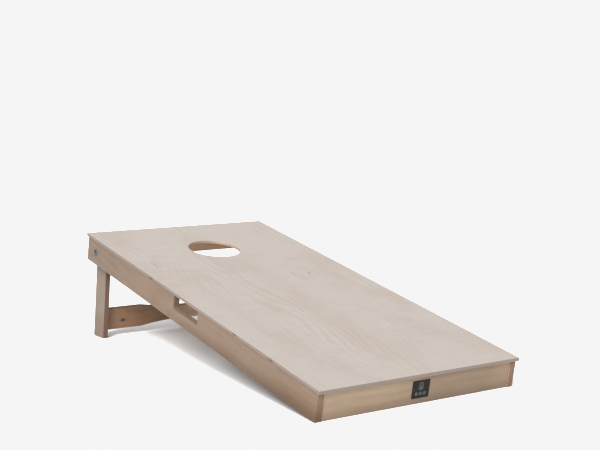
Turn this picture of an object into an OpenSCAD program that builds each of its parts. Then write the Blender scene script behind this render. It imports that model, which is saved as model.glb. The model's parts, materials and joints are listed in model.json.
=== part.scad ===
// Cornhole board: a plywood deck with a bag hole, on a frame of four rails, held up at its high
// end by two legs and a brace that fold up between the side rails on two bolts.
//
// Most parts are drawn in deck coordinates: x across the board, y up the slope from the low edge
// and z square to the deck, with 0 on its top face. tilted() then stands the board on the floor:
// +Y runs from the low end to the high end, +Z is up, and the origin is on the floor below the
// middle of the whole board.

/* [Deck] */
// Width of the deck
deck_w = 600; // [560:5:620]
// Length of the deck along the slope
deck_l = 1200; // [1150:10:1240]
// Thickness of the deck
deck_t = 9; // [9:1:12]
// Radius of the deck's four corners
deck_corner_r = 1; // [0.5:0.5:10]
// Slope of the deck above the floor, in degrees
slope = 11.3; // [10:0.1:12]
// Diameter of the bag hole
hole_d = 152; // [146:1:158]
// Distance of the hole's centre from the deck's high edge
hole_back = 228.6; // [215:0.2:240]
// How far the deck stands out past the side rails
side_overhang = 3; // [2:0.5:6]
// How far the deck stands out past both ends of the side rails
end_overhang = 7; // [5:0.5:7]

/* [Frame] */
// Height of the rails below the deck
rail_h = 70; // [66:1:70]
// Thickness of the side rails
rail_t = 18; // [15:1:18]
// Thickness of the end rails
end_rail_t = 15; // [15:1:15]
// How far the end rails sit back from the ends of the side rails
end_recess = 2; // [1:0.5:2]
// How far the end rails' lower edges sit above those of the side rails
end_lift = 1.5; // [0.5:0.5:3]
// Radius of the side rails' lower corners
rail_corner_r = 2; // [1:0.5:4]
// Length of the hand notch in each side rail
notch_l = 126; // [110:1:140]
// Depth of the hand notch below the deck
notch_h = 37; // [28:1:40]
// Radius of the notch's lower corners
notch_r = 5; // [3:1:15]
// Distance of the notch's middle from the deck's low edge
notch_mid = 602; // [580:1:620]

/* [Legs] */
// Width of a leg
leg_w = 62; // [56:1:62]
// Thickness of a leg
leg_t = 15; // [14:1:17]
// Forward lean of the legs from square to the deck, in degrees
leg_lean = 3.5; // [0:0.5:5]
// Radius of the foot's two corners
foot_r = 4; // [2:0.5:6]
// Distance of the pivot bolts from the deck's high edge
pivot_back = 60; // [60:1:66]
// Height of the brace at its ends
brace_h = 65; // [58:1:68]
// Thickness of the brace
brace_t = 15; // [14:1:18]
// Distance from the pivot down to the middle of the brace
brace_drop = 205; // [190:1:207]
// Half of the length of the brace's curved cut-outs
waist_half_l = 142; // [120:1:180]
// Depth of the brace's curved cut-outs
waist_cut = 12.3; // [6:0.1:16]

/* [Hardware] */
// Diameter of the pivot bolts' shank
bolt_d = 8; // [8:1:8]
// Length of the pivot bolts below the head
bolt_l = 50; // [49:1:52]
// Diameter of the bolts' domed heads
bolt_head_d = 20.6; // [19:0.1:22]
// Outside diameter of the washers
washer_d = 24; // [20:1:24]
// Thickness of the washers
washer_t = 2; // [1.6:0.1:2.4]
// Width of the nuts across their flats
nut_flats = 13; // [13:1:13]
// Diameter of the frame screws' shank
screw_d = 4; // [3.5:0.1:4.2]
// Diameter of the frame screws' heads
screw_head_d = 8.4; // [7.6:0.1:8.8]

/* [Badge] */
// Width of the badge on the front rail
badge_w = 51; // [40:1:60]
// Height of the badge
badge_h = 44; // [40:1:50]
// Thickness of the badge
badge_t = 1.2; // [0.8:0.1:2]

/* [Hidden] */
$fn = 96;
FIT = 0.05;            // running clearance of the legs on their bolts and between the washers
EPS = 1;               // how far a cutter runs past the surface that it cuts
POCKET_A = 15;         // angle between a pocket screw and the rail that it starts in
POCKET_D = 9.5;        // diameter of the pockets
POCKET_RUN = 70;       // length of a pocket's cutter below the screw's head
HEAD_H = 2;            // thickness of a screw's head
TIP_L = 4;             // length of a screw's point
DECK_SCREW_L = 25;     // length of the screws that hold the deck, below their heads
DECK_BITE = 6.5;       // length of such a screw inside the deck
JOINT_SCREW_L = 30;    // length of the screws that join rails and legs, below their heads
JOINT_BITE = 11;       // length of such a screw inside the piece that it pulls up
STOP_GAP = 0.15;       // gap between the legs' stop flats and the deck
DOME_H = 4.6;          // height of a bolt's head
RIM_H = 0.8;           // height of the straight rim below the head's dome
NECK_L = 4.5;          // length of the square neck below the head
HEX_H = 5.8;           // height of a nut's hexagon
NUT_H = 8;             // height of a nut with its collar
COLLAR_D = 11.6;       // diameter of the nut's collar
INSERT_D = 10;         // outside diameter of the nut's nylon ring
INSERT_H = 2;          // height of the nylon ring
BADGE_RIM = 1.6;       // width of the badge's raised rim
BADGE_RELIEF = 0.3;    // height of the badge's rim and emblem above its ground

rail_x = deck_w / 2 - side_overhang;             // outer face of the right side rail
inner_x = rail_x - rail_t;                       // its inner face
rail_top = -deck_t;
rail_foot = -deck_t - rail_h;
rail_y0 = end_overhang;                          // ends of the side rails
rail_y1 = deck_l - end_overhang;
front_y = rail_y0 + end_recess;                  // outer faces of the end rails
rear_y = rail_y1 - end_recess;

pivot_y = deck_l - pivot_back;
pivot_z = (rail_top + rail_foot) / 2;
leg_x1 = inner_x - washer_t - FIT;               // outer and inner faces of the right leg
leg_x0 = leg_x1 - leg_t;
stop_r = rear_y - end_rail_t - pivot_y - 0.7;    // reach of the leg's stop corner past its pivot

// The front corners of the side rails set the height of the whole board above the floor
floor_drop = (rail_y0 + rail_corner_r) * sin(slope) + (rail_foot + rail_corner_r) * cos(slope)
    - rail_corner_r;
// The pivot on the upright board, before it is centred, and its height above the floor
pivot_up_y = pivot_y * cos(slope) - pivot_z * sin(slope);
pivot_height = pivot_y * sin(slope) + pivot_z * cos(slope) - floor_drop;
leg_tilt = slope - leg_lean;                     // lean of the legs from the vertical
// Length along the leg from the pivot to the floor, for an edge that is n behind the pivot
function reach(n) = (pivot_height + n * sin(leg_tilt)) / cos(leg_tilt);
foot_centre_n = leg_w / 2 - foot_r;              // the rounded rear corner is the board's rearmost point
foot_rear_y = pivot_up_y + foot_centre_n * cos(leg_tilt) + foot_r
    + (pivot_height - foot_r + foot_centre_n * sin(leg_tilt)) * tan(leg_tilt);
centre_y = foot_rear_y / 2;

// ---- placing ----

// Stands a part drawn in deck coordinates on the floor
module tilted() {
    translate([0, -centre_y, -floor_drop]) rotate([slope, 0, 0]) children();
}

// Places a part drawn about the pivot: y behind the pivot, z up along the leg
module on_leg() {
    translate([0, pivot_up_y - centre_y, pivot_height]) rotate([leg_tilt, 0, 0]) children();
}

// Draws a part once for the right side, and mirrors it for the left
module on_side(side) {
    if (side == "left") mirror([1, 0, 0]) children();
    else children();
}

// Stands a flat outline, drawn in y and z, along x from x0 to x1
module across(x0, x1) {
    translate([x0, 0, 0]) rotate([90, 0, 90]) linear_extrude(x1 - x0) children();
}

// ---- outlines ----

function unit(p) = p / norm(p);
function turned(p) = [-p[1], p[0]];

// A rectangle between two corners with rounded corners
module rounded_box(low, high, r) {
    size = high - low;
    translate(low + [r, 0]) square(size - [2 * r, 0]);
    translate(low + [0, r]) square(size - [0, 2 * r]);
    for (x = [low[0] + r, high[0] - r], y = [low[1] + r, high[1] - r])
        translate([x, y]) circle(r);
}

// What rounding takes off the outline's corner p, whose edges leave along a and b
module corner_waste(p, a, b, r) {
    half_angle = acos(a * b) / 2;
    centre = p + unit(a + b) * r / sin(half_angle);
    on_a = p + a * r / tan(half_angle);
    on_b = p + b * r / tan(half_angle);
    difference() {
        polygon([
            centre,
            on_a + unit(on_a - centre) * EPS,
            p + unit(p - centre) * 2 * EPS,
            on_b + unit(on_b - centre) * EPS
        ]);
        translate(centre) circle(r);
    }
}

// The hand notch, open towards the deck
module notch_outline() {
    floor_z = rail_top - notch_h;
    translate([notch_mid - notch_l / 2, floor_z + notch_r]) square([notch_l, notch_h - notch_r + EPS]);
    translate([notch_mid - notch_l / 2 + notch_r, floor_z]) square([notch_l - 2 * notch_r, notch_h]);
    for (dy = [-1, 1])
        translate([notch_mid + dy * (notch_l / 2 - notch_r), floor_z + notch_r]) circle(notch_r);
}

module side_rail_outline() {
    difference() {
        translate([rail_y0, rail_foot]) square([rail_y1 - rail_y0, rail_h]);
        notch_outline();
        corner_waste([rail_y0, rail_foot], [1, 0], [0, 1], rail_corner_r);
        corner_waste([rail_y1, rail_foot], [-1, 0], [0, 1], rail_corner_r);
    }
}

// The leg about its pivot: round on top where it turns under the deck, with a fuller rear corner
// whose flat meets the deck and stops the leg, and cut off level with the floor
module leg_outline() {
    half = leg_w / 2;
    floor_dir = [cos(leg_tilt), -sin(leg_tilt)];
    rear_foot = [half, -reach(half)];
    front_foot = [-half, -reach(-half)];
    difference() {
        union() {
            circle(half);
            polygon([[-half, 0], front_foot, rear_foot, [half, 0]]);
            intersection() {
                circle(stop_r);
                square([half, stop_r]);
                rotate(leg_lean) translate([-stop_r, 0])
                    square([2 * stop_r, rail_top - pivot_z - STOP_GAP]);
            }
        }
        corner_waste(rear_foot, -floor_dir, [0, 1], foot_r);
        corner_waste(front_foot, floor_dir, [0, 1], foot_r);
    }
}

// The brace from end to end, with a long shallow arc cut from its upper and lower edges
module brace_outline() {
    arc_r = (waist_half_l ^ 2 + waist_cut ^ 2) / (2 * waist_cut);
    difference() {
        square([2 * leg_x0, brace_h], center = true);
        for (side = [-1, 1])
            translate([0, side * (brace_h / 2 - waist_cut + arc_r)]) circle(arc_r, $fn = 480);
    }
}

// ---- fasteners ----

// A pocket screw: its axis is z, with 0 on the joint that it crosses and its point above
module screw(length, bite) {
    translate([0, 0, bite - length]) cylinder(h = length - TIP_L, d = screw_d);
    translate([0, 0, bite - TIP_L]) cylinder(h = TIP_L, d1 = screw_d, d2 = 1);
    translate([0, 0, bite - length - HEAD_H]) cylinder(h = HEAD_H, d = screw_head_d);
}

// The hole for the same screw, with the pocket that its head sits in
module screw_hole(length, bite) {
    translate([0, 0, bite - length - EPS]) cylinder(h = length - TIP_L + EPS, d = screw_d + 2 * FIT);
    translate([0, 0, bite - TIP_L])
        cylinder(h = TIP_L + FIT, d1 = screw_d + 2 * FIT, d2 = 1 + 2 * FIT);
    translate([0, 0, bite - length - POCKET_RUN]) cylinder(h = POCKET_RUN, d = POCKET_D);
}

// Places of the screws along each rail, clear of the notch and of one another
side_screw_ys = [for (t = [0.16, 0.34, 0.66, 0.84]) deck_l * t];
end_screw_xs = [for (t = [-0.28, 0, 0.28]) deck_w * t];
corner_screw_zs = [for (t = [0.3, 0.75]) rail_top - rail_h * t];
brace_screw_zs = [for (t = [-0.26, 0.26]) brace_h * t - brace_drop];

// Screws up through the right side rail into the deck
module at_side_screws() {
    for (y = side_screw_ys)
        translate([rail_x - rail_t / 2, y, rail_top]) rotate([0, POCKET_A, 0]) children();
}

// Screws up through an end rail into the deck; face is the rail's outer face and inward the way
// from it to the middle of the board, 1 or -1
module at_end_screws(face, inward) {
    for (x = end_screw_xs)
        translate([x, face + inward * end_rail_t / 2, rail_top]) rotate([inward * POCKET_A, 0, 0])
            children();
}

// Screws out through the ends of an end rail into both side rails
module at_corner_screws(face, inward) {
    for (side = [0, 1], z = corner_screw_zs)
        mirror([side, 0, 0]) translate([inner_x, face + inward * end_rail_t / 2, z])
            rotate([0, 0, -inward * POCKET_A]) rotate([0, 90, 0]) children();
}

// Screws out through the right end of the brace into the leg, from pockets in its rear face
module at_brace_screws() {
    for (z = brace_screw_zs)
        translate([leg_x0, 0, z]) rotate([0, 0, -POCKET_A]) rotate([0, 90, 0]) children();
}

// Places a part of the right pivot with z along the bolt, from the rail's outer face inwards
module at_pivot() {
    translate([rail_x, pivot_y, pivot_z]) rotate([0, -90, 0]) children();
}

module carriage_bolt() {
    head_r = bolt_head_d / 2;
    cap_h = DOME_H - RIM_H;
    dome_r = (head_r ^ 2 + cap_h ^ 2) / (2 * cap_h);
    at_pivot() {
        intersection() {
            translate([0, 0, dome_r - DOME_H]) sphere(dome_r, $fn = 128);
            translate([0, 0, -DOME_H - EPS]) cylinder(h = DOME_H + EPS, d = bolt_head_d);
        }
        translate([-bolt_d / 2, -bolt_d / 2, 0]) cube([bolt_d, bolt_d, NECK_L]);
        cylinder(h = bolt_l - 1, d = bolt_d);
        translate([0, 0, bolt_l - 1]) cylinder(h = 1, d1 = bolt_d, d2 = bolt_d - 1.6);
    }
}

module washer(from) {
    at_pivot() translate([0, 0, from]) difference() {
        cylinder(h = washer_t, d = washer_d);
        translate([0, 0, -EPS]) cylinder(h = washer_t + 2 * EPS, d = bolt_d + 0.6);
    }
}

nut_from = rail_t + 2 * washer_t + leg_t + 3 * FIT;   // the nut's seat, from the rail's outer face

module lock_nut() {
    corner_d = nut_flats / cos(30);
    at_pivot() translate([0, 0, nut_from]) difference() {
        union() {
            intersection() {
                cylinder(h = HEX_H, d = corner_d, $fn = 6);
                cylinder(h = HEX_H, d1 = nut_flats + 2 * HEX_H, d2 = nut_flats);
            }
            cylinder(h = NUT_H, d = COLLAR_D);
        }
        translate([0, 0, -EPS]) cylinder(h = NUT_H + 2 * EPS, d = bolt_d + FIT);
        translate([0, 0, NUT_H - INSERT_H - 0.5]) cylinder(h = INSERT_H, d = INSERT_D);
    }
}

module nut_insert() {
    at_pivot() translate([0, 0, nut_from + NUT_H - INSERT_H - 0.5]) difference() {
        cylinder(h = INSERT_H, d = INSERT_D);
        translate([0, 0, -EPS]) cylinder(h = INSERT_H + 2 * EPS, d = bolt_d + FIT);
    }
}

// ---- wooden parts ----

module side_rail() {
    difference() {
        across(inner_x, rail_x) side_rail_outline();
        at_pivot() {
            translate([0, 0, -EPS]) cylinder(h = rail_t + 2 * EPS, d = bolt_d + 2 * FIT);
            translate([0, 0, NECK_L / 2])
                cube([bolt_d + 2 * FIT, bolt_d + 2 * FIT, NECK_L + 2 * FIT], center = true);
        }
        at_side_screws() screw_hole(DECK_SCREW_L, DECK_BITE);
        at_corner_screws(front_y, 1) screw_hole(JOINT_SCREW_L, JOINT_BITE);
        at_corner_screws(rear_y, -1) screw_hole(JOINT_SCREW_L, JOINT_BITE);
    }
}

module end_rail(face, inward) {
    difference() {
        translate([-inner_x, min(face, face + inward * end_rail_t), rail_foot + end_lift])
            cube([2 * inner_x, end_rail_t, rail_h - end_lift]);
        at_end_screws(face, inward) screw_hole(DECK_SCREW_L, DECK_BITE);
        at_corner_screws(face, inward) screw_hole(JOINT_SCREW_L, JOINT_BITE);
    }
}

module leg() {
    on_leg() difference() {
        across(leg_x0, leg_x1) leg_outline();
        translate([leg_x0 - EPS, 0, 0]) rotate([0, 90, 0])
            cylinder(h = leg_t + 2 * EPS, d = bolt_d + 2 * FIT);
        at_brace_screws() screw_hole(JOINT_SCREW_L, JOINT_BITE);
    }
}

// ---- named parts ----

module top_panel() {
    color("#cfc3ba") tilted() difference() {
        translate([0, 0, -deck_t]) linear_extrude(deck_t)
            rounded_box([-deck_w / 2, 0], [deck_w / 2, deck_l], deck_corner_r);
        translate([0, deck_l - hole_back, -deck_t - EPS])
            cylinder(h = deck_t + 2 * EPS, d = hole_d, $fn = 180);
        for (side = [0, 1])
            mirror([side, 0, 0]) at_side_screws() screw_hole(DECK_SCREW_L, DECK_BITE);
        at_end_screws(front_y, 1) screw_hole(DECK_SCREW_L, DECK_BITE);
        at_end_screws(rear_y, -1) screw_hole(DECK_SCREW_L, DECK_BITE);
    }
}

module left_side_rail() {
    color("#a99079") tilted() on_side("left") side_rail();
}

module right_side_rail() {
    color("#a99079") tilted() on_side("right") side_rail();
}

module front_rail() {
    color("#ab937f") tilted() end_rail(front_y, 1);
}

module rear_rail() {
    color("#ab937f") tilted() end_rail(rear_y, -1);
}

module left_leg() {
    color("#9e917f") on_side("left") leg();
}

module right_leg() {
    color("#9e917f") on_side("right") leg();
}

module leg_brace() {
    color("#8a6e57") on_leg() difference() {
        translate([0, brace_t / 2, -brace_drop]) rotate([90, 0, 0]) linear_extrude(brace_t)
            brace_outline();
        for (side = [0, 1])
            mirror([side, 0, 0]) at_brace_screws() screw_hole(JOINT_SCREW_L, JOINT_BITE);
    }
}

// A plain black plate with a raised rim, a pin at each side and a pictogram: a board with its
// hole above three bags
module front_badge() {
    mid_z = rail_top - rail_h / 2 + 2;
    half = [badge_w / 2, badge_h / 2];
    rim = [BADGE_RIM, BADGE_RIM];
    color("#2a2b2a") tilted() translate([0, front_y, mid_z]) rotate([90, 0, 0]) {
        linear_extrude(badge_t - BADGE_RELIEF) rounded_box(-half, half, 1.5);
        linear_extrude(badge_t) {
            difference() {
                rounded_box(-half, half, 1.5);
                rounded_box(rim - half, half - rim, 1);
            }
            difference() {
                rounded_box([-6.5, -2], [6.5, 17], 2);
                translate([0, 11.5]) circle(2.8);
            }
            for (x = [-12, 0, 12]) rounded_box([x - 4.2, -15.2], [x + 4.2, -6.8], 2);
            for (x = [-1, 1]) translate([x * (half[0] - 3.6), 0]) circle(1.3);
        }
    }
}

module left_pivot_bolt() {
    color("#8d979b") tilted() on_side("left") carriage_bolt();
}

module right_pivot_bolt() {
    color("#8d979b") tilted() on_side("right") carriage_bolt();
}

module left_spacer_washer() {
    color("#a7adaf") tilted() on_side("left") washer(rail_t);
}

module right_spacer_washer() {
    color("#a7adaf") tilted() on_side("right") washer(rail_t);
}

module left_nut_washer() {
    color("#a7adaf") tilted() on_side("left") washer(nut_from - washer_t);
}

module right_nut_washer() {
    color("#a7adaf") tilted() on_side("right") washer(nut_from - washer_t);
}

module left_lock_nut() {
    color("#9aa1a4") tilted() on_side("left") lock_nut();
}

module right_lock_nut() {
    color("#9aa1a4") tilted() on_side("right") lock_nut();
}

module left_nut_insert() {
    color("#5f86b3") tilted() on_side("left") nut_insert();
}

module right_nut_insert() {
    color("#5f86b3") tilted() on_side("right") nut_insert();
}

module left_panel_screws() {
    color("#c7b26a") tilted() on_side("left") at_side_screws() screw(DECK_SCREW_L, DECK_BITE);
}

module right_panel_screws() {
    color("#c7b26a") tilted() on_side("right") at_side_screws() screw(DECK_SCREW_L, DECK_BITE);
}

module front_panel_screws() {
    color("#c7b26a") tilted() at_end_screws(front_y, 1) screw(DECK_SCREW_L, DECK_BITE);
}

module rear_panel_screws() {
    color("#c7b26a") tilted() at_end_screws(rear_y, -1) screw(DECK_SCREW_L, DECK_BITE);
}

module front_corner_screws() {
    color("#c7b26a") tilted() at_corner_screws(front_y, 1) screw(JOINT_SCREW_L, JOINT_BITE);
}

module rear_corner_screws() {
    color("#c7b26a") tilted() at_corner_screws(rear_y, -1) screw(JOINT_SCREW_L, JOINT_BITE);
}

module left_brace_screws() {
    color("#c7b26a") on_side("left") on_leg() at_brace_screws() screw(JOINT_SCREW_L, JOINT_BITE);
}

module right_brace_screws() {
    color("#c7b26a") on_side("right") on_leg() at_brace_screws() screw(JOINT_SCREW_L, JOINT_BITE);
}

top_panel();
left_side_rail();
right_side_rail();
front_rail();
rear_rail();
front_badge();
left_leg();
right_leg();
leg_brace();
left_pivot_bolt();
right_pivot_bolt();
left_spacer_washer();
right_spacer_washer();
left_nut_washer();
right_nut_washer();
left_lock_nut();
right_lock_nut();
left_nut_insert();
right_nut_insert();
left_panel_screws();
right_panel_screws();
front_panel_screws();
rear_panel_screws();
front_corner_screws();
rear_corner_screws();
left_brace_screws();
right_brace_screws();
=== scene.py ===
import json
import math

import bmesh
import bpy
from mathutils import Matrix, Vector
from mathutils.geometry import tessellate_polygon


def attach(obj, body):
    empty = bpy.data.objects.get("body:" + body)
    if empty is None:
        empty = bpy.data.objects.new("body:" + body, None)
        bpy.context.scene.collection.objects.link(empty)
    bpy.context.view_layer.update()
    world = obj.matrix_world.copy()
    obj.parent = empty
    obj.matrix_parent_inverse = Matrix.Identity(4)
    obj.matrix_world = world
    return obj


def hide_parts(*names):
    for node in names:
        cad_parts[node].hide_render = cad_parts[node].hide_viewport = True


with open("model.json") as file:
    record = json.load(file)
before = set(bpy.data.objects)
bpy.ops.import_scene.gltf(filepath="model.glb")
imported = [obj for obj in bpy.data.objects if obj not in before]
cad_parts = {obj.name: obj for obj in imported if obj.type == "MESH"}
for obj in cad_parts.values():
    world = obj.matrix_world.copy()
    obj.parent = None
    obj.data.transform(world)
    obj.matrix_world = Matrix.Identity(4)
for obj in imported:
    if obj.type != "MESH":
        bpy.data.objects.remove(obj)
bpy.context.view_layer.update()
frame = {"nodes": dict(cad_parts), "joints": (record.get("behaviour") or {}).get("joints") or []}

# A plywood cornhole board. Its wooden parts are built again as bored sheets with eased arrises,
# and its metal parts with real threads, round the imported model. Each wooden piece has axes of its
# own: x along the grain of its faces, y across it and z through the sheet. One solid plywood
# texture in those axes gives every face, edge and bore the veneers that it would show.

MM = 0.001


# ---- the board's and the legs' own axes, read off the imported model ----

def widest_face(node, faces):
    """The normal of the node's largest face among those whose normals pass the test"""
    polygons = [p for p in frame["nodes"][node].data.polygons if faces(p.normal)]
    return max(polygons, key=lambda p: p.area).normal


def local_box(node, place):
    """A node's lowest and highest corners, in the axes of place"""
    back = place.inverted()
    points = [back @ v.co for v in frame["nodes"][node].data.vertices]
    low = Vector([min(p[i] for p in points) for i in range(3)])
    high = Vector([max(p[i] for p in points) for i in range(3)])
    return low, high


def deck_axes():
    """x across the board, y up the slope from the low edge, z square to the deck from its top"""
    normal = widest_face("top_panel", lambda n: n.z > 0.5)
    turn = Matrix.Rotation(math.atan2(-normal.y, normal.z), 4, "X")
    low, high = local_box("top_panel", turn)
    return turn @ Matrix.Translation((0, low.y, high.z))


def leg_axes():
    """x across the board, y behind the pivot and z up along the legs, from the pivot"""
    normal = widest_face("left_leg", lambda n: n.y < -0.9 and abs(n.x) < 0.1)
    pivot = Vector(frame["joints"][0]["pos_m"])
    return Matrix.Translation(pivot) @ Matrix.Rotation(math.atan2(-normal.z, -normal.y), 4, "X")


DECK = deck_axes()
LEGS = leg_axes()
LEG_TILT = LEGS.to_euler().x
LEG_LEAN = DECK.to_euler().x - LEG_TILT

deck_low, deck_high = local_box("top_panel", DECK)
rail_low, rail_high = local_box("right_side_rail", DECK)
front_low, front_high = local_box("front_rail", DECK)
rear_low, rear_high = local_box("rear_rail", DECK)
leg_low, leg_high = local_box("right_leg", LEGS)
brace_low, brace_high = local_box("leg_brace", LEGS)
bolt_low, bolt_high = local_box("right_pivot_bolt", DECK)
badge_low, badge_high = local_box("front_badge", DECK)

RAIL_T = rail_high.x - rail_low.x
PIVOT_Y = (bolt_low.y + bolt_high.y) / 2
PIVOT_Z = (bolt_low.z + bolt_high.z) / 2
DECK_T = deck_high.z - deck_low.z
DECK_MIDDLE = (deck_high.z + deck_low.z) / 2
LEG_T = leg_high.x - leg_low.x
BRACE_T = brace_high.y - brace_low.y
BRACE_MIDDLE = (brace_low.z + brace_high.z) / 2

# The bag hole, the hand notches, the legs' stop and the brace's waist
HOLE_R = 76 * MM
HOLE_Y = deck_high.y - 228.6 * MM
NOTCH_Y0, NOTCH_Y1 = 539 * MM, 665 * MM
NOTCH_FLOOR = rail_high.z - 37 * MM
NOTCH_R = 5 * MM
STOP_GAP = 0.15 * MM
STOP_CLEAR = 0.7 * MM
FOOT_R = 4 * MM
WAIST_HALF, WAIST_CUT = 142 * MM, 12.3 * MM

# Roundings of the sheets' arrises
DECK_EASE = 1.3 * MM
EASE = 1.1 * MM
END_RAIL_EASE = 0.8 * MM


def axes(x, y, z, origin):
    """The matrix whose columns are three directions and an origin"""
    m = Matrix((x, y, z)).transposed().to_4x4()
    m.translation = origin
    return m


def aimed(origin, direction, forward="Z", up="X"):
    """A matrix at origin whose forward axis points along direction"""
    m = Vector(direction).to_track_quat(forward, up).to_matrix().to_4x4()
    m.translation = origin
    return m


# ---- outlines, as closed lists of points, anticlockwise round wood ----

def arc(centre, radius, start, end, steps):
    """Points on an arc between two angles in degrees"""
    angles = [math.radians(start + (end - start) * i / steps) for i in range(steps + 1)]
    return [Vector((centre[0] + radius * math.cos(a), centre[1] + radius * math.sin(a)))
            for a in angles]


def circle(centre, radius, points=48, way=1):
    """A whole circle, clockwise where way is -1"""
    return arc(centre, radius, 0, way * 360 * (points - 1) / points, points - 1)


def rounded(corners, steps=9):
    """An outline from corners (x, y, radius), each rounded by its radius"""
    points = []
    count = len(corners)
    for i, (x, y, radius) in enumerate(corners):
        p = Vector((x, y))
        before = (Vector(corners[i - 1][:2]) - p).normalized()
        after = (Vector(corners[(i + 1) % count][:2]) - p).normalized()
        if radius == 0:
            points.append(p)
            continue
        half = before.angle(after) / 2
        centre = p + (before + after).normalized() * radius / math.sin(half)
        first = p + before * radius / math.tan(half) - centre
        last = p + after * radius / math.tan(half) - centre
        sweep = first.angle_signed(last)
        turn = [Matrix.Rotation(-sweep * s / steps, 2) @ first for s in range(steps + 1)]
        points += [centre + t for t in turn]
    return points


def box_outline(x0, y0, x1, y1, radius=0.0, steps=9):
    """A rectangle with rounded corners"""
    corners = [(x0, y0, radius), (x1, y0, radius), (x1, y1, radius), (x0, y1, radius)]
    return rounded(corners, steps)


def inset(points, distance):
    """The outline moved to its left by a distance, which is into the wood"""
    moved = []
    count = len(points)
    for i, p in enumerate(points):
        before = (p - points[i - 1]).normalized()
        after = (points[(i + 1) % count] - p).normalized()
        left = Vector((-before.y - after.y, before.x + after.x)).normalized()
        moved.append(p + left * distance / max(0.3, left.dot(Vector((-before.y, before.x)))))
    return moved


# ---- meshes ----

# Edges shallower than this are shaded smooth
SMOOTH_DEG = 13


def new_object(name, data, place=Matrix()):
    """An object in the scene"""
    obj = bpy.data.objects.new(name, data)
    bpy.context.scene.collection.objects.link(obj)
    obj.matrix_world = place
    return obj


def add_object(name, bm, place, material, smooth_deg=SMOOTH_DEG):
    """A mesh object from a bmesh drawn in the axes of place, smooth across its shallow edges"""
    mesh = bpy.data.meshes.new(name)
    bmesh.ops.recalc_face_normals(bm, faces=bm.faces)
    bm.to_mesh(mesh)
    bm.free()
    mesh.transform(place)
    mesh.shade_smooth()
    mesh.set_sharp_from_angle(angle=math.radians(smooth_deg))
    mesh.materials.append(material)
    return new_object(name, mesh)


def ring_strip(bm, low, high):
    """Quads between two rings of vertices of the same length"""
    count = len(low)
    for i in range(count):
        j = (i + 1) % count
        bm.faces.new((low[i], low[j], high[j], high[i]))


def sheet_mesh(outlines, thickness, ease, steps=8, rim=0.3 * MM):
    """A sheet cut to the outlines, the first its outside and the rest its holes, with both
    arrises rounded by ease. A narrow rim on each side of a rounding keeps its shading there."""
    half = thickness / 2
    profile = [(ease + rim, -half)]
    for i in range(steps + 1):
        a = math.radians(90 * i / steps)
        profile.append((ease - ease * math.sin(a), -half + ease - ease * math.cos(a)))
    profile.append((0, -half + ease + rim))
    profile += [(d, -z) for d, z in reversed(profile)]
    bm = bmesh.new()
    loops = []
    for outline in outlines:
        rings = [[bm.verts.new((*p, z)) for p in inset(outline, d)] for d, z in profile]
        loops.append(rings)
        for low, high in zip(rings, rings[1:]):
            ring_strip(bm, low, high)
    for end in (0, -1):
        caps = [rings[end] for rings in loops]
        flat = [v for ring in caps for v in ring]
        for corners in tessellate_polygon([[v.co for v in ring] for ring in caps]):
            bm.faces.new([flat[c] for c in corners])
    return bm


def prism(outline, z0, z1):
    """A plain closed prism on an outline, to cut with"""
    bm = bmesh.new()
    low = [bm.verts.new((*p, z0)) for p in outline]
    high = [bm.verts.new((*p, z1)) for p in outline]
    ring_strip(bm, low, high)
    bm.faces.new(low)
    bm.faces.new(high)
    bmesh.ops.recalc_face_normals(bm, faces=bm.faces)
    return bm


def lathe(profile, segments, closed=False, shape=None):
    """Turns a profile of (radius, z) points round z. A closed profile makes a ring, and an open
    one ends on the axis. shape(radius, z, angle) may change the radius."""
    bm = bmesh.new()
    rings = []
    for radius, z in profile:
        if radius == 0:
            rings.append([bm.verts.new((0, 0, z))] * segments)
            continue
        ring = []
        for i in range(segments):
            a = 2 * math.pi * i / segments
            r = shape(radius, z, a) if shape else radius
            ring.append(bm.verts.new((r * math.cos(a), r * math.sin(a), z)))
        rings.append(ring)
    pairs = list(zip(rings, rings[1:]))
    if closed:
        pairs.append((rings[-1], rings[0]))
    for low, high in pairs:
        for i in range(segments):
            j = (i + 1) % segments
            corners = [low[i], low[j], high[j], high[i]]
            bm.faces.new(list(dict.fromkeys(corners)))
    return bm


def joined(parts):
    """One bmesh from several (bmesh, matrix) pairs"""
    whole = bmesh.new()
    for bm, place in parts:
        mesh = bpy.data.meshes.new("part")
        bm.to_mesh(mesh)
        mesh.transform(place)
        whole.from_mesh(mesh)
        bpy.data.meshes.remove(mesh)
    return whole


def cut(bm, cutters):
    """The bmesh with the cutters, (bmesh, matrix) pairs in its own axes, taken out of it"""
    made = []
    for part in (bm, joined(cutters)):
        mesh = bpy.data.meshes.new("cutting")
        bmesh.ops.recalc_face_normals(part, faces=part.faces)
        part.to_mesh(mesh)
        part.free()
        made.append(new_object("cutting", mesh))
    body, tool = made
    boolean = body.modifiers.new("cut", "BOOLEAN")
    boolean.operation = "DIFFERENCE"
    boolean.solver = "EXACT"
    boolean.object = tool
    evaluated = body.evaluated_get(bpy.context.evaluated_depsgraph_get())
    result = bmesh.new()
    result.from_mesh(evaluated.to_mesh())
    for obj in made:
        bpy.data.objects.remove(obj)
    return result


def add_piece(name, bm, place, material, body, node, smooth_deg=SMOOTH_DEG):
    """A piece on its body, in place of its CAD node"""
    obj = add_object(name, bm, place, material, smooth_deg)
    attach(obj, body)
    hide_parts(node)


# ---- materials ----

class Value:
    """A number that varies over the surface, with its arithmetic as nodes"""

    def __init__(self, shader, socket):
        self.shader = shader
        self.socket = socket

    def __add__(self, other):
        return self.shader.maths("ADD", self, other)

    def __sub__(self, other):
        return self.shader.maths("SUBTRACT", self, other)

    def __rsub__(self, other):
        return self.shader.maths("SUBTRACT", other, self)

    def __mul__(self, other):
        return self.shader.maths("MULTIPLY", self, other)

    def __truediv__(self, other):
        return self.shader.maths("DIVIDE", self, other)


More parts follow.
